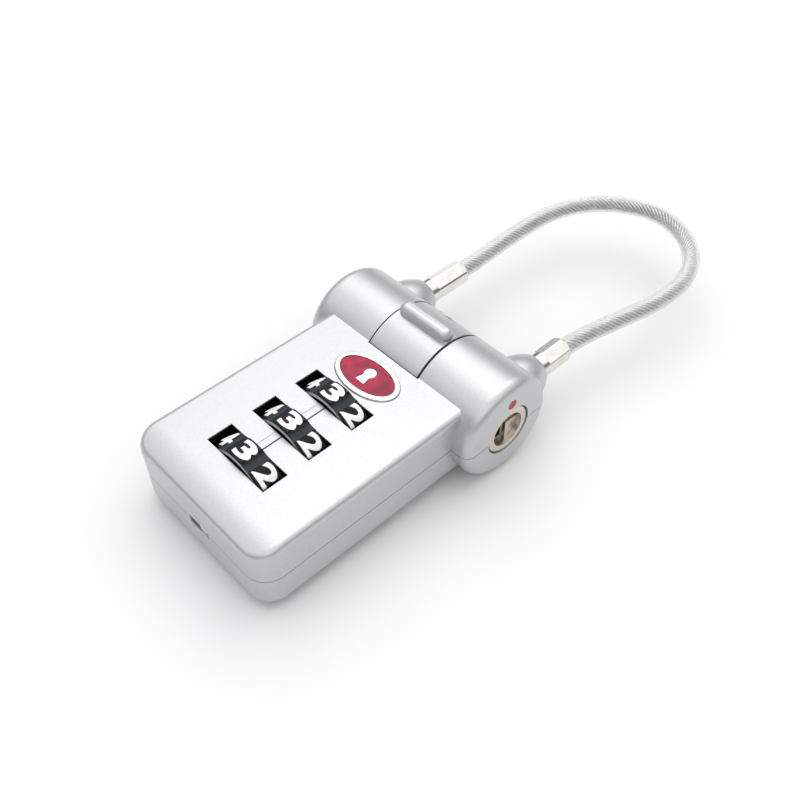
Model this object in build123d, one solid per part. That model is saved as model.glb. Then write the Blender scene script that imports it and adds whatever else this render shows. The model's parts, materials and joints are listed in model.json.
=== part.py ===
from build123d import *
import os
from math import asin, cos, degrees, pi, radians, sin, sqrt, tan

# Three-dial cable lock for luggage. Millimetres, +Z out of the dial face, +Y towards the cable loop,
# +X towards the key cylinder. The origin is under the middle of the case, level with its lowest point.

# ---- driving dimensions ----
slab_width = 29.4
slab_thickness = 12.0
front_to_axis = 43.0        # front face to the barrel's axis
barrel_radius = 8.7
barrel_length = 36.0
collar_reach = 12.1         # barrel's axis to the mouths of the cable collars
seam_above_slab = 5.6       # parting line above the slab's underside
seam_gap = 0.12
cable_diameter = 3.0
cable_spacing = 24.5        # centre to centre of the two cable ends
wheel_proud = 1.5           # how far a dial stands out of either face
wheel_radius = slab_thickness / 2 + wheel_proud
wheel_width = 3.7
wheel_pitch = 7.75
first_wheel = 9.5           # front face to the middle of dial 1
wheel_count = 3
lands = 10
knob_travel_deg = 30.0
plug_radius = 4.1
running = 0.08              # radial clearance of a running fit
gap = 0.15                  # clearance of a pocket round a fixed piece

# ---- positions worked out from them ----
front_y = -(front_to_axis + collar_reach) / 2
axis_y = front_y + front_to_axis
axis_z = barrel_radius
slab_bottom = axis_z - slab_thickness / 2
slab_top = axis_z + slab_thickness / 2
seam_z = slab_bottom + seam_above_slab
barrel_end = barrel_length / 2
cable_x = cable_spacing / 2
collar_y = axis_y + collar_reach
wheel_z = axis_z            # the dials share the barrel's height
wheel_ys = [front_y + first_wheel + k * wheel_pitch for k in range(wheel_count)]
web_ys = [y + wheel_pitch / 2 for y in wheel_ys]

os.makedirs("parts", exist_ok=True)


# ---- helpers ----
def block(x0, x1, y0, y1, z0, z1):
    """A box between two corners."""
    return Pos((x0 + x1) / 2, (y0 + y1) / 2, (z0 + z1) / 2) * Box(x1 - x0, y1 - y0, z1 - z0)


def rod_x(radius, x0, x1, y=axis_y, z=axis_z):
    """A round bar along X."""
    return Pos((x0 + x1) / 2, y, z) * Rot(0, 90, 0) * Cylinder(radius, x1 - x0)


def rod_y(radius, y0, y1, x=0.0, z=axis_z):
    """A round bar along Y."""
    return Pos(x, (y0 + y1) / 2, z) * Rot(90, 0, 0) * Cylinder(radius, y1 - y0)


def rod_z(radius, z0, z1, x, y):
    """A round bar along Z."""
    return Pos(x, y, (z0 + z1) / 2) * Cylinder(radius, z1 - z0)


def turned_y(outline, x=0.0, z=axis_z):
    """A solid turned about a line along Y from (radius, y) points."""
    face = make_face(Polyline(*[(r, y) for r, y in outline], close=True))
    return Pos(x, 0, z) * revolve(face, Axis.Y)


def coil(radius, wire, length, turns):
    """A compression spring along +Z from the origin."""
    path = Helix(pitch=length / turns, height=length, radius=radius)
    section = Plane(origin=path @ 0, z_dir=path % 0) * Circle(wire / 2)
    return sweep(section, path=path, is_frenet=True)


def sector_x(r_in, r_out, x0, x1, start_deg, end_deg):
    """A piece of a ring about the barrel's axis. Angles run from +Z towards +Y."""
    steps = 24
    reach = r_out * 1.6
    angles = [radians(start_deg + (end_deg - start_deg) * i / steps) for i in range(steps + 1)]
    fan = [(0.0, 0.0)] + [(reach * sin(a), reach * cos(a)) for a in angles]
    wedge = extrude(Plane.YZ * make_face(Polyline(*fan, close=True)), amount=x1 - x0)
    ring = Rot(0, 90, 0) * (Cylinder(r_out, x1 - x0) - Cylinder(r_in, x1 - x0 + 1))
    ring = Pos((x1 - x0) / 2, 0, 0) * ring
    return Pos(x0, axis_y, axis_z) * (wedge & ring)


def write(node, shape):
    """Writes one node and prints its size."""
    solids = shape.solids()
    label = Compound(children=solids) if len(solids) > 1 else solids[0]
    label.label = node
    export_step(label, f"parts/{node}.step")
    print(f"{node}: {len(solids)} solids, {sum(s.volume for s in solids):.2f} mm3")


# ---- the case's outer form ----
corner_radius = 3.6
rolloff_length = 4.5        # the dial face dips towards its front edge
rolloff_drop = 1.4
edge_radius = 1.15
barrel_edge_radius = 1.7


def slab_form():
    arc_radius = (rolloff_length ** 2 + rolloff_drop ** 2) / (2 * rolloff_drop)
    half_angle = asin(rolloff_length / arc_radius) / 2
    middle = (
        front_y + rolloff_length - arc_radius * sin(half_angle),
        slab_top - arc_radius * (1 - cos(half_angle)),
    )
    low_front = (front_y, slab_bottom)
    high_front = (front_y, slab_top - rolloff_drop)
    top_start = (front_y + rolloff_length, slab_top)
    outline = (
        Line(low_front, high_front)
        + ThreePointArc(high_front, middle, top_start)
        + Line(top_start, (axis_y, slab_top))
        + Line((axis_y, slab_top), (axis_y, slab_bottom))
        + Line((axis_y, slab_bottom), low_front)
    )
    form = extrude(Plane.YZ * make_face(outline), amount=slab_width / 2, both=True)
    uprights = form.edges().filter_by(Axis.Z).filter_by(lambda e: e.center().Y < front_y + 1)
    form = fillet(uprights, corner_radius)

    def rim(edge):
        middle_point = edge @ 0.5
        at_back = abs(middle_point.Y - axis_y) < 0.01
        upper = middle_point.Z > slab_top - rolloff_drop - 0.1
        lower = abs(middle_point.Z - slab_bottom) < 0.01
        across = edge.geom_type == GeomType.LINE and abs((edge % 0.5).X) > 0.9
        inner_line = across and middle_point.Y > front_y + 1
        upright = abs((edge % 0.5).Z) > 0.95
        return (upper or lower) and not at_back and not inner_line and not upright

    return fillet(form.edges().filter_by(rim), edge_radius)


def barrel_form():
    barrel = rod_x(barrel_radius, -barrel_end, barrel_end)
    return fillet(barrel.edges().filter_by(GeomType.CIRCLE), barrel_edge_radius)


def collar_form(x):
    base_y = axis_y + 6.4
    base, shoulder, mouth = (4.3, base_y), (3.95, axis_y + 9.6), (2.75, collar_y)
    outline = (
        Line((0, base_y), base)
        + ThreePointArc(base, shoulder, mouth)
        + Line(mouth, (0, collar_y))
        + Line((0, collar_y), (0, base_y))
    )
    return Pos(x, 0, axis_z) * revolve(make_face(outline), Axis.Y)


# ---- pockets, shared by the two covers ----
window_half_length = 6.3
window_width = 4.2
cell_half_length = wheel_radius + 0.25
window_skin = 1.2
spindle_radius = 1.2
fin_radius = 2.1
chamber_half = 5.4          # half the length of the knob's chamber
chamber_clearance = 0.17
plate_radius = barrel_radius - 0.05
skirt_radius = 7.45
sleeve_radius = 5.3
sleeve_rear = 7.4
sleeve_front = 16.9
plug_rear = 6.6
ferrule_radius = 2.1
groove_radius = 1.25
ferrule_tail = axis_y + 1.0
flange_radius = 3.0
flange_y = axis_y + 5.75
flange_thickness = 1.2
bolt_travel = 0.85
slot_left, slot_right = -1.45, 2.75
detent_x = -(wheel_radius + 2.2)
reset_bar_x = wheel_radius + 1.7


def dial_pockets():
    cuts = []
    for y in wheel_ys:
        half = window_width / 2
        cuts.append(block(-cell_half_length, cell_half_length, y - half, y + half,
                          slab_bottom + window_skin, slab_top - window_skin))
        cuts.append(block(-window_half_length, window_half_length, y - half, y + half,
                          slab_bottom - 1, slab_top + 1))
    cuts.append(rod_y(spindle_radius + running, front_y + 2.3, axis_y - 6, z=wheel_z))
    for y in web_ys:
        cuts.append(rod_y(fin_radius + 0.3, y - 1.3, y + 1.3, z=wheel_z))
    spring_y = web_ys[-1] + 2.2
    cuts.append(rod_y(fin_radius + 0.3, spring_y, spring_y + 5.4, z=wheel_z))
    return cuts


def detent_pocket():
    return block(detent_x - 0.35, -cell_half_length + 0.05, wheel_ys[0] - 2.6, wheel_ys[-1] + 2.6,
                 wheel_z - 1.1, wheel_z + 1.1)


def reset_pockets():
    cuts = [block(slot_left, slot_right, front_y - 1, front_y + 1.7, seam_z - 0.8, seam_z + 0.8)]
    cuts.append(block(-2.1, 6.5, front_y + 1.6, front_y + 2.75, seam_z - 1.7, seam_z + 1.7))
    cuts.append(block(reset_bar_x - 0.75, reset_bar_x + 0.75, front_y + 2.7, web_ys[-1] + 2.0,
                      seam_z - 1.6, seam_z + 1.6))
    cuts.append(block(5.0, reset_bar_x + 0.75, front_y + 2.7, front_y + 5.0,
                      seam_z - 1.6, seam_z + 1.6))
    for y in web_ys[:-1]:
        cuts.append(block(2.6, reset_bar_x, y - 1.25, y + 1.25, seam_z - 1.2, seam_z + 1.2))
    return cuts


def cylinder_pockets():
    return [
        rod_x(sleeve_radius + 0.04, plug_rear - 0.15, sleeve_front),
        rod_x(plug_radius + 0.18, sleeve_front - 0.1, barrel_end + 1),
        rod_x(1.65, chamber_half - 0.1, plug_rear),
        rod_y(ferrule_radius + 0.1, flange_y + 1, collar_y + 1, x=cable_x),
        rod_y(flange_radius + 0.1, flange_y - 0.15, flange_y + flange_thickness + 0.1, x=cable_x),
    ]


def latch_pockets():
    return [
        rod_y(ferrule_radius + 0.1, axis_y - 3.6, collar_y + 1, x=-cable_x),
        block(-10.4, -8.1, axis_y + 1.95, axis_y + 4.05, axis_z - 1.15, axis_z + 1.15),
        block(-9.3, -8.1, axis_y + 1.3, axis_y + 4.7, axis_z - 1.75, axis_z + 1.75),
        block(-9.3, -6.1, axis_y - 1.7, axis_y + 4.7, axis_z - 1.75, axis_z + 1.75),
        rod_x(2.4 + running, -6.2, -chamber_half + 0.1),
    ]


pin_places = [(x, front_y + y) for x in (-12.2, 12.2) for y in (5.0, 33.0)]
pin_radius = 0.9
badge_centre_y = front_y + 31.4
badge_length, badge_height = 12.0, 7.2
badge_seat = 0.35
dot_y, dot_z, dot_radius, dot_depth = axis_y + 0.25, axis_z + 5.3, 0.85, 0.3


def oval(length, height, thickness, z):
    """An upright elliptical slab with its underside at z, over the badge's place."""
    return Pos(0, badge_centre_y, z) * extrude(Ellipse(length / 2, height / 2), amount=thickness)


def covers():
    form = slab_form() + barrel_form()
    for side in (-1, 1):
        form += collar_form(side * cable_x)
    cuts = dial_pockets() + [detent_pocket()] + reset_pockets()
    cuts += cylinder_pockets() + latch_pockets()
    cuts += [rod_z(pin_radius + 0.02, slab_bottom + 2, slab_top - 2, x, y) for x, y in pin_places]
    form -= cuts
    front = form & block(-40, 40, -60, 60, seam_z + seam_gap / 2, 60)
    back = form & block(-40, 40, -60, 60, -1, seam_z - seam_gap / 2)
    front -= rod_x(plate_radius + chamber_clearance, -chamber_half, chamber_half)
    back -= rod_x(skirt_radius + 0.2, -chamber_half, chamber_half)
    front -= oval(badge_length + 0.1, badge_height + 0.1, 2, slab_top - badge_seat)
    front -= rod_x(dot_radius, barrel_end - dot_depth, barrel_end + 1, y=dot_y, z=dot_z)
    return front, back


# ---- dials ----
sleeve_out = 3.3
dial_bore = sleeve_out + running
valley_depth = 0.4
valley_inset = 1.3          # centre of a valley's round cutter outside the rim


def dial(y):
    """A wheel with ten flat-topped lands, parted by shallow valleys, and a rounded rim."""
    half = wheel_width / 2
    wheel = fillet(Cylinder(wheel_radius, wheel_width).edges(), 0.25)
    wheel -= Cylinder(dial_bore, wheel_width + 1)
    for k in range(lands):
        angle = radians(360 / lands * (k + 0.5))
        reach = wheel_radius + valley_inset
        cutter = Cylinder(valley_inset + valley_depth, wheel_width + 1)
        wheel -= Pos(reach * cos(angle), reach * sin(angle), 0) * cutter
    for side in (-1, 1):
        wheel -= Pos(0, 0, side * half) * (Cylinder(wheel_radius - 1.1, 0.5) - Cylinder(4.1, 1))
    # a flat of the land faces +Z when the dial stands at a number
    return Pos(0, y, wheel_z) * Rot(90, 0, 0) * Rot(0, 0, 90) * wheel


def code_sleeve(y):
    """The keyed sleeve between a dial and the spindle, with the gate that the fins look for."""
    half = wheel_width / 2 - 0.1
    sleeve = rod_y(sleeve_out, y - half, y + half, z=wheel_z)
    sleeve -= rod_y(spindle_radius + running, y - half - 1, y + half + 1, z=wheel_z)
    sleeve -= rod_y(fin_radius + 0.2, y + half - 0.7, y + half + 1, z=wheel_z)
    sleeve -= block(-0.55, 0.55, y - half - 1, y + half + 1, wheel_z, wheel_z + fin_radius + 0.2)
    for k in range(5):
        angle = radians(72 * k + 36)
        sleeve -= rod_y(0.35, y - half - 1, y + half + 1, x=sleeve_out * cos(angle),
                        z=wheel_z + sleeve_out * sin(angle))
    return sleeve


# ---- spindle and its spring ----
spindle_travel = 1.2
spindle_tip = axis_y - 3.3
spring_seat_y = web_ys[-1] + 2.35
spring_length = 3.4


def spindle():
    shaft = rod_y(spindle_radius, front_y + 3.95, spindle_tip, z=wheel_z)
    shaft = chamfer(shaft.edges().filter_by(GeomType.CIRCLE), 0.3)
    for y in web_ys:
        fin_y = y + spindle_travel / 2
        for turn in (0, 120, 240):
            fin = block(-0.4, 0.4, fin_y - 0.5, fin_y + 0.5, 0.6, fin_radius)
            shaft += Pos(0, 0, wheel_z) * Rot(0, turn, 0) * fin
    collar_at = spring_seat_y + spring_length + 0.1
    shaft += rod_y(fin_radius - 0.1, collar_at, collar_at + 0.9, z=wheel_z)
    return shaft


def spindle_spring():
    spring = coil(1.62, 0.3, spring_length - 0.5, 4)
    return Pos(0, spring_seat_y + spring_length - 0.25, wheel_z) * Rot(90, 0, 0) * spring


# ---- detent spring ----
def detent_spring():
    """A leaf with one sprung finger to each dial."""
    strip = block(detent_x - 0.15, detent_x + 0.15, wheel_ys[0] - 2.3, wheel_ys[-1] + 2.3,
                  wheel_z - 0.8, wheel_z + 0.8)
    tip_x = -(wheel_radius + 0.13)
    for y in wheel_ys:
        outline = Polyline((detent_x + 0.1, y - 1.5), (tip_x - 0.15, y - 0.35), (tip_x, y),
                           (tip_x - 0.15, y + 0.35), (detent_x + 0.1, y + 1.5),
                           (detent_x + 0.1, y + 1.2), (tip_x - 0.45, y),
                           (detent_x + 0.1, y - 1.2), close=True)
        finger = extrude(make_face(outline), amount=1.2)
        strip += Pos(0, 0, wheel_z - 0.6) * finger
    return strip


# ---- reset lever and plate ----
reset_travel = 1.6
reset_plate_travel = 0.6


def reset_lever():
    thumb = block(0.45, 2.15, front_y + 0.25, front_y + 1.9, seam_z - 0.65, seam_z + 0.65)
    thumb = fillet(thumb.edges().filter_by(Axis.Y), 0.5)
    slide = block(-0.2, 6.2, front_y + 1.8, front_y + 2.55, seam_z - 1.5, seam_z + 1.5)
    return thumb + slide


def reset_plate():
    bar = block(reset_bar_x - 0.5, reset_bar_x + 0.5, front_y + 3.1, web_ys[-2] + 2.2,
                seam_z - 1.3, seam_z + 1.3)
    tail = block(5.3, reset_bar_x, front_y + 3.1, front_y + 3.9, seam_z - 1.3, seam_z + 1.3)
    plate = bar + tail
    for y in web_ys[:-1]:
        arm_y = y - reset_plate_travel / 2
        plate += block(2.9, reset_bar_x, arm_y - 0.45, arm_y + 0.45, seam_z - 0.9, seam_z + 0.9)
    return plate


# ---- knob: a turning plate with a thumb rib, on a cam shaft ----
plate_front_deg = -84.0
plate_rear_deg = 60.0
skirt_rear_deg = 88.0
plate_left, plate_right = -5.25, 4.98
rib_angle = 3.5
rib_width = 2.7
rib_height = 1.75
rib_left, rib_right = -5.15, 4.9
screw_angle = 48.0
hub_radius = 2.4
notch_clearance = 0.12      # small, so the slab still hides the notch when the knob is turned


def about_axis(shape, angle_deg):
    """Turns a shape made over the barrel's top to an angle from +Z towards +Y."""
    return Pos(0, axis_y, axis_z) * Rot(-angle_deg, 0, 0) * shape


def thumb_turn():
    plate = sector_x(skirt_radius - 0.8, plate_radius, plate_left, plate_right,
                     plate_front_deg, plate_rear_deg)
    plate += sector_x(skirt_radius - 0.8, skirt_radius, plate_left, plate_right,
                      plate_rear_deg - 1, skirt_rear_deg)
    for x in (plate_left, plate_right - 0.8):
        plate += sector_x(hub_radius + 0.02, skirt_radius - 0.7, x, x + 0.8,
                          plate_front_deg, skirt_rear_deg)
    # a notch in the hidden front edge lets the spindle through
    plate -= block(-fin_radius - 0.6, fin_radius + 0.6, axis_y - 12, axis_y - 4,
                   axis_z - 2, wheel_z + fin_radius + notch_clearance)
    rib = Box(rib_right - rib_left, rib_width, rib_height + 1.2)
    rib = fillet(rib.edges().filter_by(Axis.Z), 1.25)
    rib = fillet(rib.faces().sort_by(Axis.Z)[-1].edges(), 1.1)
    rib_middle = (rib_left + rib_right) / 2
    plate += about_axis(Pos(rib_middle, 0, plate_radius + (rib_height - 1.2) / 2) * rib, rib_angle)
    sink = Pos(0, 0, plate_radius - 0.5) * Cylinder(1.35, 1.1)
    hole = Pos(0, 0, plate_radius - 1) * Cylinder(0.75, 6)
    return plate - about_axis(sink + hole, screw_angle)


def knob_screw():
    head = Cylinder(1.25, 0.6)
    head = Pos(0, 0, plate_radius - 0.7) * fillet(head.faces().sort_by(Axis.Z)[-1].edges(), 0.2)
    shank = Pos(0, 0, plate_radius - 3.0) * Cylinder(0.68, 4.2)
    cross = Pos(0, 0, plate_radius - 0.45) * (Box(1.5, 0.35, 0.4) + Box(0.35, 1.5, 0.4))
    return about_axis(head + shank - cross, screw_angle)


def cam_shaft():
    shaft = rod_x(hub_radius, -6.05, plate_right - 0.1)
    shaft += rod_x(1.6, plate_right - 0.2, 5.8)
    post = Pos(0, 0, (skirt_radius - 0.95) / 2 + 0.5) * Cylinder(1.5, skirt_radius - 1.95)
    post -= Pos(0, 0, plate_radius - 3.0) * Cylinder(0.7, 4.4)
    shaft += about_axis(post, screw_angle)
    # a scoop in the latch end is the cam that pushes the bolt
    shaft -= about_axis(Pos(-6.05, 0, 1.9) * Box(0.7, 3.4, 1.6), 200)
    return shaft


# ---- latch ----
def latch_bolt():
    tail = block(-7.3, -6.3, axis_y - 1.4, axis_y + 4.3, axis_z - 1.4, axis_z + 1.4)
    shoulder = block(-8.0, -6.3, axis_y + 1.6, axis_y + 4.3, axis_z - 1.4, axis_z + 1.4)
    nose = block(-10.05, -7.9, axis_y + 2.2, axis_y + 3.8, axis_z - 0.85, axis_z + 0.85)
    nose = chamfer(nose.faces().sort_by(Axis.X)[0].edges().filter_by(Axis.Z), 0.3)
    return tail + shoulder + nose


def latch_spring():
    spring = coil(1.33, 0.22, 0.85, 2)
    return Pos(-8.12, axis_y + 3.0, axis_z) * Rot(0, -90, 0) * spring


def ejector_spring():
    spring = coil(1.45, 0.35, 3.7, 5)
    return Pos(-cable_x, axis_y + 0.75, axis_z) * Rot(90, 0, 0) * spring


# ---- key cylinder ----
wafer_xs = [9.0 + 1.35 * k for k in range(5)]
wafer_thickness = 0.7
keyway_shift = -0.5


def cylinder_sleeve():
    sleeve = rod_x(sleeve_radius, sleeve_rear, sleeve_front)
    sleeve -= rod_x(plug_radius + running, sleeve_rear - 1, sleeve_front + 1)
    for side in (-1, 1):
        middle = axis_z + side * (plug_radius + 0.4)
        sleeve -= block(8.3, 15.2, axis_y - 1.8, axis_y + 1.8, middle - 0.5, middle + 0.5)
    return sleeve


def key_plug():
    plug = rod_x(plug_radius, plug_rear, barrel_end - 0.15)
    plug = fillet(plug.faces().sort_by(Axis.X)[-1].edges(), 0.25)
    plug -= rod_x(2.95, barrel_end - 1.7, barrel_end + 1)
    step = rod_x(2.9, barrel_end - 1.9, barrel_end - 0.95)
    step &= block(0, 40, axis_y + 0.35, axis_y + 5, axis_z - 5, axis_z + 0.5)
    plug += step
    plug -= block(8.3, 17.2, axis_y + keyway_shift - 0.65, axis_y + keyway_shift + 0.65,
                  axis_z - 2.6, axis_z + 2.4)
    plug -= rod_x(plug_radius + 1, 6.8, 7.2) - rod_x(3.5, 6.7, 7.3)
    for x in wafer_xs:
        half = wafer_thickness / 2 + 0.05
        plug -= block(x - half, x + half, axis_y - 1.7, axis_y + 1.7, axis_z - 5, axis_z + 5)
        plug -= rod_z(0.42, axis_z - 2.9, axis_z - 0.4, x, axis_y + 2.35)
    return plug + rod_x(1.57, 5.9, plug_rear + 0.1)


def wafers():
    plates = []
    for k, x in enumerate(wafer_xs):
        half = wafer_thickness / 2
        rise = 0.25 * (k % 3) - 0.25
        plate = block(x - half, x + half, axis_y - 1.6, axis_y + 1.6, axis_z - 3.6, axis_z + 3.6)
        plate -= block(x - 1, x + 1, axis_y - 1.2, axis_y + 0.2,
                       axis_z - 2.6 + rise, axis_z + 1.8 + rise)
        plates.append(plate)
    return Compound(children=[p.solids()[0] for p in plates])


def wafer_springs():
    springs = []
    for x in wafer_xs:
        spring = coil(0.26, 0.12, 2.2, 6)
        springs.append(Pos(x, axis_y + 2.35, axis_z - 2.75) * spring)
    return Compound(children=[s.solids()[0] for s in springs])


def plug_clip():
    ring = rod_x(4.9, 6.84, 7.16) - rod_x(3.54, 6, 8)
    return ring - block(6, 8, axis_y - 1.6, axis_y + 1.6, axis_z - 8, axis_z - 2)


# ---- cable ends and cable ----
crimp_across = 3.8
crimp_start = collar_y + 1.8
release_mouth = front_y + 64.0
fixed_mouth = front_y + 62.0
crimp_depth = 5.4           # how deep the cable sits in a ferrule
cable_radius = cable_diameter / 2


def crimped(x, tail_y, mouth_y):
    """A round ferrule whose outer stretch is pressed to six flats round the cable."""
    ferrule = rod_y(ferrule_radius, tail_y, mouth_y, x=x)
    ferrule = fillet(ferrule.edges().filter_by(GeomType.CIRCLE), 0.45)
    length = mouth_y - crimp_start
    hexagon = Rot(0, 0, 30) * RegularPolygon(crimp_across / 2, 6, major_radius=False)
    outside = extrude(Rectangle(8, 8) - hexagon, amount=length)
    ferrule -= Pos(x, mouth_y, axis_z) * Rot(90, 0, 0) * outside
    ferrule -= turned_y([(1.75, mouth_y + 0.01), (2.6, mouth_y + 0.01), (2.6, mouth_y - 0.75),
                         (2.12, mouth_y - 0.55), (1.95, mouth_y - 0.2)], x=x)
    ferrule -= rod_y(cable_radius + 0.02, mouth_y - crimp_depth, mouth_y + 1, x=x)
    return ferrule


def release_ferrule():
    ferrule = crimped(-cable_x, ferrule_tail, release_mouth)
    groove = rod_y(ferrule_radius + 1, axis_y + 1.95, axis_y + 4.05, x=-cable_x)
    groove -= rod_y(groove_radius, axis_y, axis_y + 6, x=-cable_x)
    return ferrule - groove


def fixed_ferrule():
    ferrule = crimped(cable_x, flange_y, fixed_mouth)
    return ferrule + rod_y(flange_radius, flange_y, flange_y + flange_thickness, x=cable_x)


# the cable's route, from the release end round to the fixed end, as distances from the front face
cable_route = [
    (-12.25, 58.6), (-12.25, 66.0), (-12.7, 74.0), (-12.95, 82.5), (-12.2, 90.6),
    (-7.6, 98.4), (1.2, 103.0), (10.2, 100.0), (15.7, 92.6), (16.5, 83.6),
    (14.3, 73.6), (12.25, 64.6), (12.25, 56.6),
]


def cable_path():
    points = [Vector(x, front_y + y, axis_z) for x, y in cable_route]
    radii = []
    for before, here, after in zip(points, points[1:], points[2:]):
        turn = (here - before).get_angle(after - here)
        shorter = min((here - before).length, (after - here).length)
        radii.append(0.45 * shorter / tan(radians(turn) / 2))
    print("cable arc radii", [round(r, 1) for r in radii])
    path = FilletPolyline(*points, radius=radii)
    print("cable length", round(path.length, 1))
    return path


def cable(inner, outer):
    """A round tube, or a bar if inner is 0, along the route."""
    path = cable_path()
    ring = Circle(outer) - Circle(inner) if inner else Circle(outer)
    tube = sweep(Plane(origin=path @ 0, z_dir=path % 0) * ring, path=path)
    expected = pi * (outer ** 2 - inner ** 2) * path.length
    print("volume over section times length", round(tube.volume / expected, 4))
    return tube


# ---- trim ----
def badge_bezel():
    rim = oval(badge_length, badge_height, badge_seat + 0.3, slab_top - badge_seat + 0.02)
    rim = fillet(rim.faces().sort_by(Axis.Z)[-1].edges(), 0.2)
    rim -= oval(badge_length - 1.5, badge_height - 1.5, 2, slab_top + 0.02)
    # a plain keyhole stands in the middle
    head = Pos(0, badge_centre_y + 0.6, slab_top) * extrude(Circle(0.95), amount=0.26)
    skirt = Polyline((-0.35, 0.9), (0.35, 0.9), (0.85, -1.5), (-0.85, -1.5), close=True)
    skirt = Pos(0, badge_centre_y, slab_top) * extrude(make_face(skirt), amount=0.26)
    return rim + head + skirt


def badge_enamel():
    enamel = oval(badge_length - 1.56, badge_height - 1.56, 0.18, slab_top + 0.03)
    head = Pos(0, badge_centre_y + 0.6, slab_top) * extrude(Circle(0.98), amount=1)
    skirt = Polyline((-0.38, 0.9), (0.38, 0.9), (0.88, -1.53), (-0.88, -1.53), close=True)
    skirt = Pos(0, badge_centre_y, slab_top) * extrude(make_face(skirt), amount=1)
    return enamel - head - skirt


def key_dot():
    return rod_x(dot_radius - 0.01, barrel_end - dot_depth + 0.01, barrel_end, y=dot_y, z=dot_z)


def case_pins():
    pins = [rod_z(pin_radius, slab_bottom + 2.1, slab_top - 2.1, x, y) for x, y in pin_places]
    return Compound(children=[p.solids()[0] for p in pins])


# ---- write every node ----
front_cover, back_cover = covers()
write("front_cover", front_cover)
write("back_cover", back_cover)
for number, wheel_y in enumerate(wheel_ys, 1):
    write(f"dial_{number}", dial(wheel_y))
    write(f"code_sleeve_{number}", code_sleeve(wheel_y))
write("spindle", spindle())
write("spindle_spring", spindle_spring())
write("detent_spring", detent_spring())
write("reset_lever", reset_lever())
write("reset_plate", reset_plate())
write("thumb_turn", thumb_turn())
write("knob_screw", knob_screw())
write("cam_shaft", cam_shaft())
write("latch_bolt", latch_bolt())
write("latch_spring", latch_spring())
write("ejector_spring", ejector_spring())
write("cylinder_sleeve", cylinder_sleeve())
write("key_plug", key_plug())
write("wafers", wafers())
write("wafer_springs", wafer_springs())
write("plug_clip", plug_clip())
write("release_ferrule", release_ferrule())
write("fixed_ferrule", fixed_ferrule())
write("cable_core", cable(0, cable_radius - 0.4))
write("cable_jacket", cable(cable_radius - 0.35, cable_radius))
write("badge_bezel", badge_bezel())
write("badge_enamel", badge_enamel())
write("key_index_dot", key_dot())
write("case_pins", case_pins())
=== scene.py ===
import json
import math

import bmesh
import bpy
from mathutils import Matrix, Vector


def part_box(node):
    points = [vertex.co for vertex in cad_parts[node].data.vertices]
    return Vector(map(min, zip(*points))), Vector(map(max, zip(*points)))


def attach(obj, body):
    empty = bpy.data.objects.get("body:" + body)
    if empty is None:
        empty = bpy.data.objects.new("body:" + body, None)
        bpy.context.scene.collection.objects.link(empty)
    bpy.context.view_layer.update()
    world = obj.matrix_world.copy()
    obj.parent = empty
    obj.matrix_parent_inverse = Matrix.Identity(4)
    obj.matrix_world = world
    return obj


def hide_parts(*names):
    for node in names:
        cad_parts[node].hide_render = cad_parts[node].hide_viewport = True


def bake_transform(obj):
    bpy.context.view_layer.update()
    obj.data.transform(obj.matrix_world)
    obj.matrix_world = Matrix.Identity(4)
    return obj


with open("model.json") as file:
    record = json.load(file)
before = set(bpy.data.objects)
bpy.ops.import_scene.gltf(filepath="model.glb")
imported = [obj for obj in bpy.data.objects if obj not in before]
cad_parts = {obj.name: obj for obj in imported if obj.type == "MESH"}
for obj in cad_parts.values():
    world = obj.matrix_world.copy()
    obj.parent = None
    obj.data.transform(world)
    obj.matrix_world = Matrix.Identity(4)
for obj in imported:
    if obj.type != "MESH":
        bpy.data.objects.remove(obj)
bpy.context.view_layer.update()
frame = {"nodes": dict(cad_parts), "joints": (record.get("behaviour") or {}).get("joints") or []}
nodes = frame["nodes"]
joint_of = {j["name"]: j for j in frame["joints"]}

MM = 0.001

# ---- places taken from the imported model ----
case_low, case_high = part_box("front_cover")
key_low, key_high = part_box("key_plug")
AXIS_Y = (key_low.y + key_high.y) / 2
AXIS_Z = (key_low.z + key_high.z) / 2
FRONT_Y = case_low.y
WHEELS = [Vector(joint_of[f"dial_{k}_turn"]["pos_m"]) for k in (1, 2, 3)]
WHEEL_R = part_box("dial_1")[1].z - WHEELS[0].z
WHEEL_PROUD = 1.5 * MM
SLAB_THICKNESS = 12.0 * MM
SLAB_TOP = WHEELS[0].z + WHEEL_R - WHEEL_PROUD
SLAB_BOTTOM = SLAB_TOP - SLAB_THICKNESS
KNOB_CHAMBER_R = 8.91 * MM
KNOB_CHAMBER_HALF = 5.43 * MM

# ---- camera: the photograph's place and lens ----
CAMERA_AT = Vector((72.84, -57.16, 113.08)) * MM
CAMERA_RIGHT = Vector((0.68655, 0.72708, -0.00253))
CAMERA_UP = Vector((-0.53413, 0.50671, 0.67672))
camera_data = bpy.data.cameras.new("camera")
camera_data.sensor_width = 36.0
camera_data.lens = 41.96
camera_data.shift_x = -0.005
camera_data.shift_y = -0.0013
camera_data.clip_start = 0.005
camera_data.clip_end = 20.0
camera = bpy.data.objects.new("camera", camera_data)
bpy.context.scene.collection.objects.link(camera)
backward = CAMERA_RIGHT.cross(CAMERA_UP).normalized()
turn = Matrix((CAMERA_RIGHT, CAMERA_UP, backward)).transposed().to_4x4()
camera.matrix_world = Matrix.Translation(CAMERA_AT) @ turn
bpy.context.scene.camera = camera


# ---- small helpers ----
def add_object(name, data, body=None, look=None):
    piece = bpy.data.objects.new(name, data)
    bpy.context.scene.collection.objects.link(piece)
    if look is not None:
        data.materials.append(look)
    if body:
        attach(piece, body)
    return piece


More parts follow.
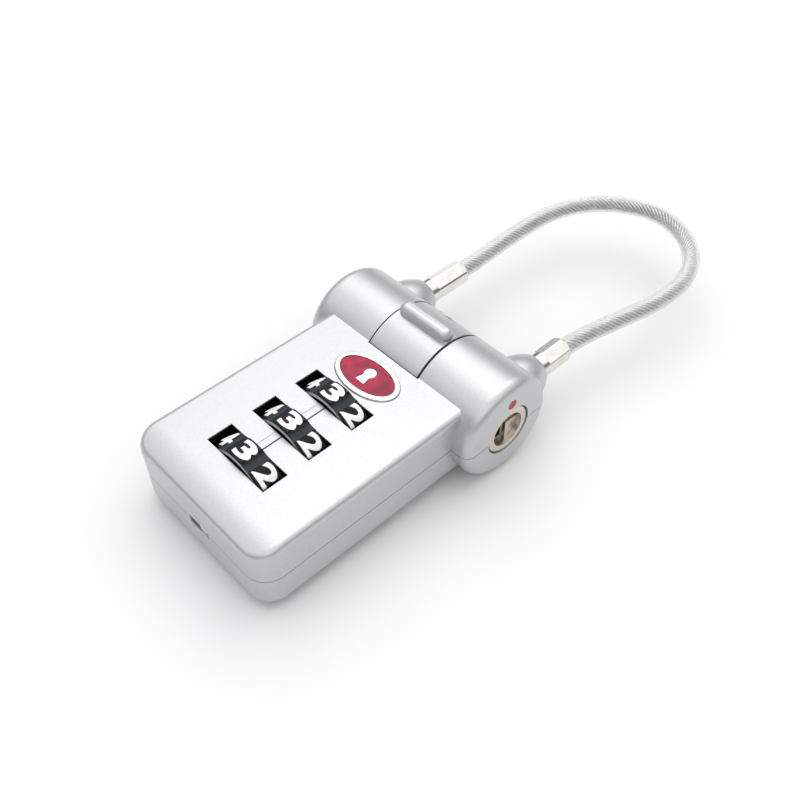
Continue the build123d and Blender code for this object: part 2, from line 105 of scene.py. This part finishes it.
def mesh_from(name, points, faces, smooth=True):
    mesh = bpy.data.meshes.new(name)
    mesh.from_pydata([tuple(p) for p in points], [], faces)
    mesh.validate()
    for polygon in mesh.polygons:
        polygon.use_smooth = smooth
    return mesh


class Look:
    """A material with its Principled shader and short ways to add nodes."""

    def __init__(self, name, color, metallic=0.0, roughness=0.5, **sockets):
        self.material = bpy.data.materials.new(name)
        self.material.use_nodes = True
        self.tree = self.material.node_tree
        self.shader = self.tree.nodes["Principled BSDF"]
        self.shader.inputs["Base Color"].default_value = (*color, 1.0)
        self.shader.inputs["Metallic"].default_value = metallic
        self.shader.inputs["Roughness"].default_value = roughness
        for socket, value in sockets.items():
            self.shader.inputs[socket.replace("_", " ")].default_value = value
        self.place = self.tree.nodes.new("ShaderNodeTexCoord").outputs["Object"]

    def link(self, source, target):
        self.tree.links.new(source, target)

    def noise(self, size_mm, detail=3.0, stretch=(1, 1, 1), distortion=0.0):
        """Noise whose features are about size_mm across."""
        mapping = self.tree.nodes.new("ShaderNodeMapping")
        mapping.inputs["Scale"].default_value = stretch
        self.link(self.place, mapping.inputs["Vector"])
        noise = self.tree.nodes.new("ShaderNodeTexNoise")
        noise.inputs["Scale"].default_value = 1.0 / (size_mm * MM)
        noise.inputs["Detail"].default_value = detail
        noise.inputs["Distortion"].default_value = distortion
        self.link(mapping.outputs["Vector"], noise.inputs["Vector"])
        return noise.outputs["Fac"]

    def flakes(self, size_mm):
        """A random value for each cell, for metallic flakes or grains."""
        cells = self.tree.nodes.new("ShaderNodeTexVoronoi")
        cells.inputs["Scale"].default_value = 1.0 / (size_mm * MM)
        self.link(self.place, cells.inputs["Vector"])
        split = self.tree.nodes.new("ShaderNodeSeparateColor")
        self.link(cells.outputs["Color"], split.inputs["Color"])
        return split.outputs["Red"]

    def spread(self, value, low, high, from_low=0.3, from_high=0.7):
        """Maps a value onto a range."""
        node = self.tree.nodes.new("ShaderNodeMapRange")
        node.inputs["From Min"].default_value = from_low
        node.inputs["From Max"].default_value = from_high
        node.inputs["To Min"].default_value = low
        node.inputs["To Max"].default_value = high
        self.link(value, node.inputs["Value"])
        return node.outputs["Result"]

    def math(self, kind, a, b=None):
        node = self.tree.nodes.new("ShaderNodeMath")
        node.operation = kind
        for index, value in enumerate((a, b)):
            if value is None:
                continue
            if isinstance(value, (int, float)):
                node.inputs[index].default_value = value
            else:
                self.link(value, node.inputs[index])
        return node.outputs[0]

    def axes(self):
        split = self.tree.nodes.new("ShaderNodeSeparateXYZ")
        self.link(self.place, split.inputs[0])
        return split.outputs[0], split.outputs[1], split.outputs[2]

    def mix(self, factor, a, b):
        """Mixes two colours by a factor."""
        node = self.tree.nodes.new("ShaderNodeMix")
        node.data_type = "RGBA"
        self.link(factor, node.inputs[0])
        for index, value in ((6, a), (7, b)):
            if isinstance(value, tuple):
                node.inputs[index].default_value = (*value, 1.0)
            else:
                self.link(value, node.inputs[index])
        return node.outputs[2]

    def color(self, value):
        self.link(value, self.shader.inputs["Base Color"])

    def roughness(self, value):
        self.link(value, self.shader.inputs["Roughness"])

    def bump(self, *layers):
        """Stacks (height, depth in mm) layers of bump."""
        last = None
        for height, depth in layers:
            node = self.tree.nodes.new("ShaderNodeBump")
            node.inputs["Strength"].default_value = 1.0
            node.inputs["Distance"].default_value = depth * MM
            self.link(height, node.inputs["Height"])
            if last is not None:
                self.link(last, node.inputs["Normal"])
            last = node.outputs["Normal"]
        self.link(last, self.shader.inputs["Normal"])


# ---- materials ----
PAINT = (0.54, 0.55, 0.555)
FLAKE_DARK = (0.495, 0.505, 0.51)
FLAKE_LIGHT = (0.585, 0.595, 0.60)
# near black for the walls inside the case's hollows: painted shade
PAINTED_HOLLOW_SHADE = (0.012, 0.012, 0.013)
STAIN = 0.15


def silver_paint(name, inside=None):
    """Satin metallic paint: fine flake, faint orange peel, cloudy tone.

    inside is a function that gives the mask of the walls where shade is painted.
    """
    look = Look(name, PAINT, metallic=0.6, roughness=0.34)
    flake = look.flakes(0.09)
    cloud = look.noise(6.0, 2.0)
    tone = look.mix(look.spread(flake, 0.0, 1.0, 0.0, 1.0), FLAKE_DARK, FLAKE_LIGHT)
    tone = look.mix(look.spread(cloud, 0.0, 0.5), tone, PAINT)
    # painted shade: the walls inside the hollows turn near black
    if inside:
        tone = look.mix(inside(look), tone, PAINTED_HOLLOW_SHADE)
    look.color(tone)
    look.roughness(look.spread(look.noise(0.25), 0.30, 0.40))
    look.bump((look.noise(0.9, 1.0), 0.004), (flake, 0.0007))
    return look.material


def inside_box(look, x_half, y0, y1, z0, z1):
    """1 within a box that is symmetrical about the middle plane, else 0."""
    x, y, z = look.axes()
    mask = look.math("LESS_THAN", look.math("ABSOLUTE", x), x_half)
    for kind, axis, limit in (
        ("GREATER_THAN", y, y0), ("LESS_THAN", y, y1),
        ("GREATER_THAN", z, z0), ("LESS_THAN", z, z1),
    ):
        mask = look.math("MULTIPLY", mask, look.math(kind, axis, limit))
    return mask


DIAL_BAY_HALF = 10.1 * MM
DIAL_BAY_SKIN = 0.22 * MM
DIAL_BAY_Y = (FRONT_Y + 4.9 * MM, FRONT_Y + 29.5 * MM)
LEVER_SLOT_HALF = 8.9 * MM
LEVER_SLOT_Y = (FRONT_Y + 0.5 * MM, DIAL_BAY_Y[0])
LEVER_SLOT_Z = (SLAB_BOTTOM + 2.0 * MM, SLAB_TOP - 3.0 * MM)
KNOB_CHAMBER_Y = (AXIS_Y - 9.0 * MM, AXIS_Y + 9.0 * MM)
KNOB_CHAMBER_Z = (AXIS_Z - 3.0 * MM, AXIS_Z + 9.0 * MM)


def inside_case(look):
    """1 on the walls inside the case's hollows, where shade is painted, 0 on its outer skin."""
    dial_z = (SLAB_BOTTOM + DIAL_BAY_SKIN, SLAB_TOP - DIAL_BAY_SKIN)
    dials = inside_box(look, DIAL_BAY_HALF, *DIAL_BAY_Y, *dial_z)
    slot = inside_box(look, LEVER_SLOT_HALF, *LEVER_SLOT_Y, *LEVER_SLOT_Z)
    _, y, z = look.axes()
    out = look.math("SUBTRACT", y, AXIS_Y)
    up = look.math("SUBTRACT", z, AXIS_Z)
    squares = look.math("ADD", look.math("MULTIPLY", out, out), look.math("MULTIPLY", up, up))
    within = look.math("LESS_THAN", look.math("SQRT", squares), KNOB_CHAMBER_R)
    knob = inside_box(look, KNOB_CHAMBER_HALF, *KNOB_CHAMBER_Y, *KNOB_CHAMBER_Z)
    knob = look.math("MULTIPLY", knob, within)
    return look.math("MAXIMUM", dials, look.math("MAXIMUM", slot, knob))


def metal(
    name, color, roughness, grain=(1, 1, 1), grain_mm=0.12, depth=0.001, metallic=1.0
):
    """Plated or bare metal; its fine grain is stretched where it is brushed or drawn."""
    look = Look(name, color, metallic=metallic, roughness=roughness)
    lines = look.noise(grain_mm, 4.0, grain)
    dull = look.noise(1.6, 3.0)
    dark = tuple(c * (1 - STAIN) for c in color)
    look.color(look.mix(look.spread(dull, 0.0, 1.0), color, dark))
    look.roughness(look.spread(lines, roughness * 0.75, roughness * 1.3))
    look.bump((lines, depth))
    return look.material


DIAL_BLACK = (0.004, 0.004, 0.005)
# bluish tone in the dial's valleys: a painted reflection
VALLEY_PAINTED_REFLECTION = (0.010, 0.017, 0.024)
VALLEY_REFLECTION_RADII = (WHEEL_R - 0.36 * MM, WHEEL_R - 0.08 * MM)
# light grey ring on the dial's side faces: a painted reflection of the case's top
SIDE_RING_PAINTED_REFLECTION = (0.5, 0.5, 0.49)
SIDE_RING_OUTER = WHEEL_R - 0.42 * MM
SIDE_RING_INNER = WHEEL_R - 1.02 * MM


def dial_plastic():
    """Glossy black, with a painted blue-black reflection in the valleys and a painted light
    reflection as a ring on the side faces.
    """
    look = Look("dial_black", DIAL_BLACK, roughness=0.2, Specular_IOR_Level=0.22)
    x, _, z = look.axes()
    up = look.math("SUBTRACT", z, WHEELS[0].z)
    squares = look.math("ADD", look.math("MULTIPLY", x, x), look.math("MULTIPLY", up, up))
    radius = look.math("SQRT", squares)
    # painted reflection: bluish in the valleys, strongest where the radius is smallest
    valley = look.spread(radius, 1.0, 0.0, *VALLEY_REFLECTION_RADII)
    black = look.mix(valley, DIAL_BLACK, VALLEY_PAINTED_REFLECTION)
    facing = look.tree.nodes.new("ShaderNodeSeparateXYZ")
    look.link(look.tree.nodes.new("ShaderNodeTexCoord").outputs["Normal"], facing.inputs[0])
    # painted reflection: a light grey ring on the side faces
    ring = look.math("GREATER_THAN", look.math("ABSOLUTE", facing.outputs[1]), 0.7)
    ring = look.math("MULTIPLY", ring, look.math("LESS_THAN", radius, SIDE_RING_OUTER))
    ring = look.math("MULTIPLY", ring, look.math("GREATER_THAN", radius, SIDE_RING_INNER))
    look.color(look.mix(ring, black, SIDE_RING_PAINTED_REFLECTION))
    look.roughness(look.spread(look.noise(0.5), 0.15, 0.27))
    look.bump((look.noise(0.35, 2.0), 0.0012))
    return look.material


def enamel(name, color, deep):
    """Glossy fill, deeper in tone where it pools."""
    coat = {"Coat_Weight": 0.1, "Coat_Roughness": 0.08}
    look = Look(name, color, roughness=0.2, Specular_IOR_Level=0.25, **coat)
    pool = look.noise(2.2, 2.0, distortion=0.6)
    look.color(look.mix(look.spread(pool, 0.0, 1.0), color, deep))
    look.roughness(look.spread(look.noise(0.3), 0.15, 0.28))
    look.bump((look.noise(1.4, 1.0), 0.006))
    return look.material


def numeral_paint():
    look = Look("numeral_white", (0.9, 0.9, 0.89), roughness=0.42)
    wear = look.spread(look.noise(0.4), 0.0, 1.0)
    look.color(look.mix(wear, (0.93, 0.93, 0.92), (0.86, 0.86, 0.85)))
    look.roughness(look.spread(look.noise(0.15), 0.36, 0.5))
    look.bump((look.noise(0.12, 2.0), 0.0015))
    return look.material


def line_paint(name, tone):
    """Matt flat tone for the thin index lines, which are the painted shadow and painted shade along
    the index band's edges.
    """
    grey = (tone, tone, tone)
    lighter = tuple(c * 1.25 for c in grey)
    look = Look(name, grey, roughness=0.5)
    look.color(look.mix(look.spread(look.noise(0.3), 0.0, 1.0), grey, lighter))
    look.bump((look.noise(0.1, 2.0), 0.001))
    return look.material


def clear_jacket():
    """Clear soft plastic: seen through at the middle, milky at its edges, faintly rippled."""
    look = Look("clear_pvc", (0.84, 0.85, 0.85), roughness=0.16, IOR=1.45, Specular_IOR_Level=0.35)
    edge = look.tree.nodes.new("ShaderNodeLayerWeight")
    edge.inputs["Blend"].default_value = 0.42
    haze = look.spread(look.noise(2.5, 2.0, distortion=1.0), -0.03, 0.06)
    seen = look.spread(edge.outputs["Facing"], 0.1, 0.72, 0.2, 0.95)
    alpha = look.math("ADD", seen, haze)
    look.link(alpha, look.shader.inputs["Alpha"])
    cloud = look.spread(look.noise(1.5), 0.0, 1.0)
    look.color(look.mix(cloud, (0.86, 0.87, 0.87), (0.78, 0.79, 0.8)))
    look.roughness(look.spread(look.noise(0.6), 0.12, 0.22))
    look.bump((look.noise(1.8, 2.0), 0.02))
    return look.material


paint_front = silver_paint("paint_front", inside_case)
paint_back = silver_paint("paint_back", inside_case)
paint_knob = silver_paint("paint_knob")
black_dial = dial_plastic()
white_numeral = numeral_paint()
bare_zinc = metal("bare_zinc", (0.56, 0.56, 0.57), 0.42, grain_mm=0.3, depth=0.003)
brass = metal("turned_brass", (0.72, 0.54, 0.24), 0.28, grain=(1, 12, 1), depth=0.001)
spring_steel = metal("spring_steel", (0.6, 0.6, 0.61), 0.3, grain_mm=0.1)
nickel_face = metal(
    "satin_nickel", (0.66, 0.61, 0.53), 0.3, grain=(1, 5, 1), grain_mm=0.2, depth=0.002
)
bright_nickel = metal(
    "bright_nickel", (0.83, 0.81, 0.77), 0.13, grain=(5, 1, 5), grain_mm=0.3, depth=0.0012
)
trim_nickel = metal("trim_nickel", (0.82, 0.81, 0.78), 0.2, grain_mm=0.15)
lever_nickel = metal("lever_nickel", (0.93, 0.92, 0.9), 0.4, grain_mm=0.15, metallic=0.35)
strand_metal = metal("strand_steel", (0.62, 0.62, 0.61), 0.36, metallic=0.85)
red_enamel = enamel("red_enamel", (0.42, 0.002, 0.05), (0.2, 0.001, 0.022))
red_dot = enamel("red_dot", (0.42, 0.002, 0.045), (0.3, 0.002, 0.035))
clear_pvc = clear_jacket()

NODE_LOOKS = {
    "front_cover": paint_front,
    "back_cover": paint_back,
    "thumb_turn": paint_knob,
    "dial_1": black_dial,
    "dial_2": black_dial,
    "dial_3": black_dial,
    "code_sleeve_1": brass,
    "code_sleeve_2": brass,
    "code_sleeve_3": brass,
    "spindle": bare_zinc,
    "spindle_spring": spring_steel,
    "detent_spring": spring_steel,
    "reset_lever": lever_nickel,
    "reset_plate": spring_steel,
    "knob_screw": trim_nickel,
    "cam_shaft": bare_zinc,
    "latch_bolt": bare_zinc,
    "latch_spring": spring_steel,
    "ejector_spring": spring_steel,
    "cylinder_sleeve": bare_zinc,
    "key_plug": nickel_face,
    "wafers": brass,
    "wafer_springs": spring_steel,
    "plug_clip": spring_steel,
    "release_ferrule": bright_nickel,
    "fixed_ferrule": bright_nickel,
    "cable_core": strand_metal,
    "cable_jacket": clear_pvc,
    "badge_bezel": trim_nickel,
    "badge_enamel": red_enamel,
    "key_index_dot": red_dot,
    "case_pins": spring_steel,
}
for node, look in NODE_LOOKS.items():
    mesh = nodes[node].data
    mesh.materials.clear()
    mesh.materials.append(look)

# ---- cable: the route's points as control points of one smooth line ----
CABLE_Z = AXIS_Z
LEG_X = 12.25
CABLE_ROUTE = [
    (-LEG_X, 58.6), (-LEG_X, 66.0), (-12.7, 74.0), (-12.95, 82.5), (-12.2, 90.6),
    (-7.6, 98.4), (1.2, 103.0), (10.2, 100.0), (15.7, 92.6), (16.5, 83.6),
    (14.3, 73.6), (LEG_X, 64.6), (LEG_X, 56.6),
]
CABLE_DIAMETER = 3.0 * MM
CABLE_STEP = 0.45 * MM
JACKET_BORE_R = 1.19 * MM
JACKET_SIDES = 24


def smooth_line(points):
    """Points read from a NURBS spline through which the cable runs."""
    data = bpy.data.curves.new("cable_line", "CURVE")
    data.dimensions = "3D"
    spline = data.splines.new("NURBS")
    spline.points.add(len(points) - 1)
    for place, point in zip(spline.points, points):
        place.co = (*point, 1.0)
    spline.order_u = 3
    spline.use_endpoint_u = True
    data.resolution_u = 24
    holder = bpy.data.objects.new("cable_line", data)
    bpy.context.scene.collection.objects.link(holder)
    bpy.context.view_layer.update()
    mesh = bpy.data.meshes.new_from_object(holder)
    line = [v.co.copy() for v in mesh.vertices]
    bpy.data.meshes.remove(mesh)
    bpy.data.objects.remove(holder)
    return line


def evenly(line, step):
    """(place, distance along) at even steps along a line."""
    lengths = [0.0]
    for a, b in zip(line, line[1:]):
        lengths.append(lengths[-1] + (b - a).length)
    count = max(2, round(lengths[-1] / step))
    found = []
    index = 0
    for k in range(count + 1):
        target = lengths[-1] * k / count
        while index < len(line) - 2 and lengths[index + 1] < target:
            index += 1
        span = lengths[index + 1] - lengths[index]
        share = 0.0 if span == 0 else (target - lengths[index]) / span
        found.append((line[index].lerp(line[index + 1], share), target))
    return found, lengths[-1]


route = [Vector((x * MM, FRONT_Y + y * MM, CABLE_Z)) for x, y in CABLE_ROUTE]
cable_line = smooth_line(route)
cable_points, cable_length = evenly(cable_line, CABLE_STEP)
UP = Vector((0, 0, 1))


def frames_along(points):
    """(place, side, up, distance) along the cable, which lies in one level plane."""
    found = []
    for k, (place, along) in enumerate(points):
        ahead = points[min(k + 1, len(points) - 1)][0]
        behind = points[max(k - 1, 0)][0]
        side = (ahead - behind).normalized().cross(UP)
        found.append((place, side, UP, along))
    return found


cable_frames = frames_along(cable_points)


def tube(points, faces, rings, closed_ends=True):
    """Adds one tube's rings of points and the faces between them."""
    start = len(points)
    sides = len(rings[0])
    for ring in rings:
        points.extend(ring)
    for r in range(len(rings) - 1):
        for s in range(sides):
            a = start + r * sides + s
            b = start + r * sides + (s + 1) % sides
            faces.append((a, b, b + sides, a + sides))
    if closed_ends:
        last = start + (len(rings) - 1) * sides
        faces.append(tuple(range(start + sides - 1, start - 1, -1)))
        faces.append(tuple(range(last, last + sides)))


def ring_at(place, side, up, radius, sides, phase=0.0):
    ring = []
    for s in range(sides):
        a = phase + 2 * math.pi * s / sides
        ring.append(place + (side * math.cos(a) + up * math.sin(a)) * radius)
    return ring


STRANDS = 9
STRAND_LAY = 7.4 * MM
STRAND_RADIUS = 0.3 * MM
STRAND_CIRCLE = 0.87 * MM
STRAND_SIDES = 8
STRANDS_DIAMETER = 2.3 * MM
CORE_RADIUS = STRAND_CIRCLE - 0.26 * MM
CORE_SIDES = 12


def cable_strands():
    """Laid strands round a core bar."""
    points, faces = [], []
    for k in range(STRANDS):
        rings = []
        for place, side, up, along in cable_frames:
            a = 2 * math.pi * (k / STRANDS - along / STRAND_LAY)
            centre = place + (side * math.cos(a) + up * math.sin(a)) * STRAND_CIRCLE
            rings.append(ring_at(centre, side, up, STRAND_RADIUS, STRAND_SIDES, a))
        tube(points, faces, rings)
    core = [ring_at(p, s, u, CORE_RADIUS, CORE_SIDES) for p, s, u, _ in cable_frames]
    tube(points, faces, core)
    return mesh_from("cable_strands", points, faces)


def cable_cover():
    """The clear jacket: an outer and an inner wall, joined at both ends."""
    sides = JACKET_SIDES
    outer = [ring_at(p, s, u, CABLE_DIAMETER / 2, sides) for p, s, u, _ in cable_frames]
    inner = [ring_at(p, s, u, JACKET_BORE_R, sides) for p, s, u, _ in cable_frames]
    points, faces = [], []
    tube(points, faces, outer, closed_ends=False)
    inner_start = len(points)
    inner_faces = []
    tube(points, inner_faces, inner, closed_ends=False)
    faces.extend(tuple(reversed(f)) for f in inner_faces)
    for first, flip in ((0, False), ((len(outer) - 1) * sides, True)):
        for s in range(sides):
            a, b = first + s, first + (s + 1) % sides
            face = (b, a, inner_start + a, inner_start + b)
            faces.append(tuple(reversed(face)) if flip else face)
    return mesh_from("cable_cover", points, faces)


for name, mesh, look, node, slot, size in (
    ("cable_strands", cable_strands(), strand_metal, "cable_core", "strand_steel", STRANDS_DIAMETER),
    ("cable_cover", cable_cover(), clear_pvc, "cable_jacket", "clear_pvc", CABLE_DIAMETER),
):
    piece = add_object(name, mesh, look=look)
    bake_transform(piece)
    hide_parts(node)


# ---- springs that a sliding piece presses together, copied as fixed meshes ----
def pressed_spring(node, along):
    """A copy of a spring, shown in place of the spring node, which is hidden."""
    low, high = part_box(node)
    middle = (low + high) / 2
    still, moving = middle.copy(), middle.copy()
    still[along], moving[along] = low[along], high[along]
    mesh = nodes[node].data.copy()
    mesh.transform(nodes[node].matrix_world)
    piece = add_object(f"{node}_coil", mesh)
    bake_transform(piece)
    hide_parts(node)


pressed_spring("spindle_spring", along=1)
pressed_spring("latch_spring", along=0)

# ---- numerals on the dials ----
NUMERAL_WIDTH = 3.1 * MM
NUMERAL_HEIGHT = 3.0 * MM
VALLEY_CENTRE = WHEEL_R + 1.3 * MM
VALLEY_CUT = 1.7 * MM
DIAL_STEP = math.radians(36)
NUMERAL_WEIGHT = 0.036
NUMERAL_PROUD = 0.03 * MM
NUMERAL_SUNK = 0.06 * MM
NARROW_ONE = 0.62
GLYPH_STRIPS = 26
DIGIT_ON_TOP = 3


def dial_surface(angle):
    """The dial's radius at an angle from the middle of a land."""
    half = DIAL_STEP / 2
    off = abs((angle + half) % DIAL_STEP - half)
    from_valley = half - off
    reach = VALLEY_CENTRE * math.sin(from_valley)
    if reach >= VALLEY_CUT:
        return WHEEL_R
    depth = math.sqrt(VALLEY_CUT**2 - reach**2)
    return min(WHEEL_R, VALLEY_CENTRE * math.cos(from_valley) - depth)


def glyph(text, width, height, weight):
    """A flat bmesh of one character, width by height about its middle, cut into narrow strips."""
    data = bpy.data.curves.new("glyph", "FONT")
    data.body = text
    data.offset = weight
    data.resolution_u = 6
    holder = bpy.data.objects.new("glyph", data)
    bpy.context.scene.collection.objects.link(holder)
    bpy.context.view_layer.update()
    mesh = bpy.data.meshes.new_from_object(holder)
    bpy.data.objects.remove(holder)
    bm = bmesh.new()
    bm.from_mesh(mesh)
    bpy.data.meshes.remove(mesh)
    bmesh.ops.remove_doubles(bm, verts=bm.verts, dist=1e-5)
    xs = [v.co.x for v in bm.verts]
    ys = [v.co.y for v in bm.verts]
    middle = Vector(((min(xs) + max(xs)) / 2, (min(ys) + max(ys)) / 2, 0))
    sx = width / (max(xs) - min(xs))
    sy = height / (max(ys) - min(ys))
    for v in bm.verts:
        v.co = Vector(((v.co.x - middle.x) * sx, (v.co.y - middle.y) * sy, 0))
    for k in range(1, GLYPH_STRIPS):
        at = width * (k / GLYPH_STRIPS - 0.5)
        geometry = bm.verts[:] + bm.edges[:] + bm.faces[:]
        bmesh.ops.bisect_plane(bm, geom=geometry, plane_co=(at, 0, 0), plane_no=(1, 0, 0))
    return bm


def numerals(centre, name):
    """All ten numerals of one dial, laid on its lands."""
    joined = bmesh.new()
    for digit in range(10):
        turn_by = DIAL_STEP * (DIGIT_ON_TOP - digit)
        width = NUMERAL_WIDTH * (NARROW_ONE if digit == 1 else 1.0)
        bm = glyph(str(digit), width, NUMERAL_HEIGHT, NUMERAL_WEIGHT)
        lifted = bmesh.ops.extrude_face_region(bm, geom=bm.faces[:])
        top = {v for v in lifted["geom"] if isinstance(v, bmesh.types.BMVert)}
        for v in bm.verts:
            off = v.co.x / WHEEL_R
            radius = dial_surface(off) + (NUMERAL_PROUD if v in top else -NUMERAL_SUNK)
            a = turn_by + off
            v.co = Vector((radius * math.sin(a), v.co.y, radius * math.cos(a))) + centre
        bmesh.ops.recalc_face_normals(bm, faces=bm.faces[:])
        part = bpy.data.meshes.new("part")
        bm.to_mesh(part)
        bm.free()
        joined.from_mesh(part)
        bpy.data.meshes.remove(part)
    mesh = bpy.data.meshes.new(name)
    joined.to_mesh(mesh)
    joined.free()
    return mesh


for number, centre in enumerate(WHEELS, 1):
    name = f"numerals_{number}"
    add_object(name, numerals(centre, name), f"dial_{number}", white_numeral)

# ---- index band between the dials: its edges drawn as painted shadow and painted shade ----
BAND_LEFT = -0.85 * MM
BAND_RIGHT = 0.45 * MM
SHADE_LINE_WIDTH = 0.13 * MM
SHADOW_LINE_WIDTH = 0.25 * MM
LINE_SUNK = 0.02 * MM
LINE_PROUD = 0.012 * MM
LINE_GAP = 0.02 * MM
# the dark line is a painted shadow along the band's right edge
index_painted_shadow = line_paint("index_painted_shadow", 0.012)
# the grey line is painted shade along the band's left edge
index_painted_shade = line_paint("index_painted_shade", 0.3)


def strip(name, x, width, y0, y1, z, look):
    """A thin flat line on the dial face."""
    low, high = z - LINE_SUNK, z + LINE_PROUD
    points = [(x + s * width / 2, y, h) for h in (low, high) for y in (y0, y1) for s in (-1, 1)]
    faces = [(0, 2, 3, 1), (4, 5, 7, 6), (0, 1, 5, 4), (2, 6, 7, 3), (0, 4, 6, 2), (1, 3, 7, 5)]
    add_object(name, mesh_from(name, points, faces, smooth=False), "case", look)


WINDOW_HALF = 2.1 * MM
for k in (0, 1):
    y0 = WHEELS[k].y + WINDOW_HALF + LINE_GAP
    y1 = WHEELS[k + 1].y - WINDOW_HALF - LINE_GAP
    strip(f"index_line_painted_shade_{k + 1}", BAND_LEFT, SHADE_LINE_WIDTH, y0, y1, SLAB_TOP, index_painted_shade)
    strip(f"index_line_painted_shadow_{k + 1}", BAND_RIGHT, SHADOW_LINE_WIDTH, y0, y1, SLAB_TOP, index_painted_shadow)

# ---- floor, lying against the barrel and the first dial ----
FLOOR_TILT = math.radians(-1.962)
FLOOR_AT = 0.485 * MM
FLOOR_WHITE = (0.785, 0.785, 0.785)
FLOOR_SHADE = (0.775, 0.775, 0.778)
floor_look = Look("floor", FLOOR_WHITE, roughness=0.9)
floor_cloud = floor_look.spread(floor_look.noise(60, 2.0), 0.0, 1.0)
floor_look.color(floor_look.mix(floor_cloud, FLOOR_WHITE, FLOOR_SHADE))
bpy.ops.mesh.primitive_plane_add(size=6.0)
floor = bpy.context.object
floor.name = "floor"
floor.rotation_euler = (FLOOR_TILT, 0, 0)
floor.location = Vector((0, -math.sin(FLOOR_TILT), math.cos(FLOOR_TILT))) * FLOOR_AT
floor.data.materials.append(floor_look.material)


# ---- light ----
def area_light(name, at, target, size, energy):
    """A rectangular lamp of size metres and energy watts, turned to its target."""
    data = bpy.data.lights.new(name, "AREA")
    data.shape = "RECTANGLE"
    data.size, data.size_y = size
    data.energy = energy
    lamp = bpy.data.objects.new(name, data)
    bpy.context.scene.collection.objects.link(lamp)
    lamp.location = at
    lamp.rotation_euler = (Vector(target) - Vector(at)).to_track_quat("-Z", "Y").to_euler()


area_light("overhead", (-0.15, 0.25, 0.7), (0, 0, 0), (0.8, 0.8), 2.45)
area_light("front_fill", (0.5, -0.5, 0.5), (0, 0, 0), (0.5, 0.5), 0.3)

# the surroundings: (height as a share, tone); dark at the horizon, white overhead
SKY_STOPS = [(0.0, 0.5), (0.12, 0.16), (0.38, 0.2), (0.6, 0.98), (1.0, 1.0)]
SKY_STRENGTH = 1.23
world = bpy.data.worlds.new("studio")
bpy.context.scene.world = world
world.use_nodes = True
tree = world.node_tree
sky = tree.nodes["Background"]
direction = tree.nodes.new("ShaderNodeTexCoord")
height = tree.nodes.new("ShaderNodeSeparateXYZ")
tree.links.new(direction.outputs["Generated"], height.inputs[0])
ramp = tree.nodes.new("ShaderNodeValToRGB")
while len(ramp.color_ramp.elements) < len(SKY_STOPS):
    ramp.color_ramp.elements.new(0.5)
for element, (place, tone) in zip(ramp.color_ramp.elements, SKY_STOPS):
    element.position = place
    element.color = (tone, tone, tone * 1.01, 1.0)
tree.links.new(height.outputs[2], ramp.inputs["Fac"])
tree.links.new(ramp.outputs["Color"], sky.inputs["Color"])
sky.inputs["Strength"].default_value = SKY_STRENGTH

bpy.context.scene.view_settings.view_transform = "Standard"
bpy.context.scene.view_settings.look = "None"
